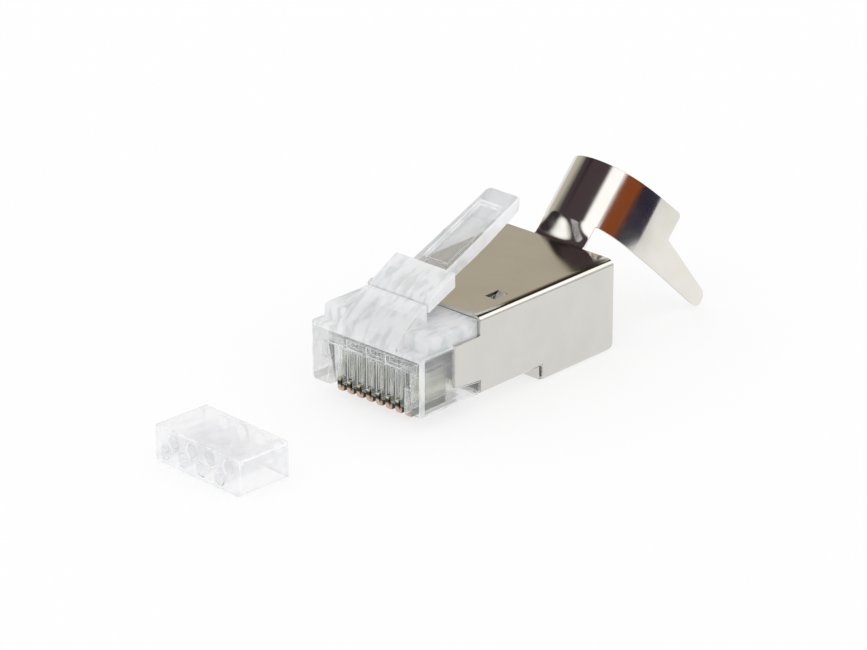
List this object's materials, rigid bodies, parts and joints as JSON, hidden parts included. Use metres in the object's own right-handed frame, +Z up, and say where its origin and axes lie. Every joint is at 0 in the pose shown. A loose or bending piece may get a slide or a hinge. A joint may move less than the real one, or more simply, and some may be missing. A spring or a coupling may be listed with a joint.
{
  "type": "shielded ethernet plug",
  "caption": "Clear eight-way modular network plug in a folded metal shield, with its latch raised, its cable collar open and its wire organiser taken out.",
  "frame": {"origin": "middle of the flat underside of the shield's deeper rear section, which the plug stands on", "axes": "+Z up, -Y out of the nose that goes into the jack, +Y towards the cable, +X the plug's right side seen from behind with the latch up"},
  "size_m": [0.0118, 0.0537, 0.0137],
  "materials": {
    "clear_polycarbonate": "clear moulded plastic",
    "nickel_plated_sheet": "bright nickel plating on folded sheet",
    "gold_plated_bronze": "thin gold plating on stamped blades"
  },
  "bodies": {
    "plug": {"housing": "clear_polycarbonate", "shield": "nickel_plated_sheet", "load_bar": "clear_polycarbonate", "contact_1": "gold_plated_bronze", "contact_2": "gold_plated_bronze", "contact_3": "gold_plated_bronze", "contact_4": "gold_plated_bronze", "contact_5": "gold_plated_bronze", "contact_6": "gold_plated_bronze", "contact_7": "gold_plated_bronze", "contact_8": "gold_plated_bronze"},
    "latch": {"latch_lever": "clear_polycarbonate"},
    "collar": {"strain_relief_collar": "nickel_plated_sheet"}
  },
  "joints": [
    {"name": "latch_bend", "type": "hinge", "parent": "plug", "child": "latch", "pos_m": [0, -0.01427, 0.0084], "axis": [1, 0, 0], "range_deg": [-20, 0], "stiffness_Nm_per_rad": 0.02},
    {"name": "collar_bend", "type": "hinge", "parent": "plug", "child": "collar", "pos_m": [0, 0.00428, 0.00758], "axis": [1, 0, 0], "range_deg": [-47, 0]}
  ]
}
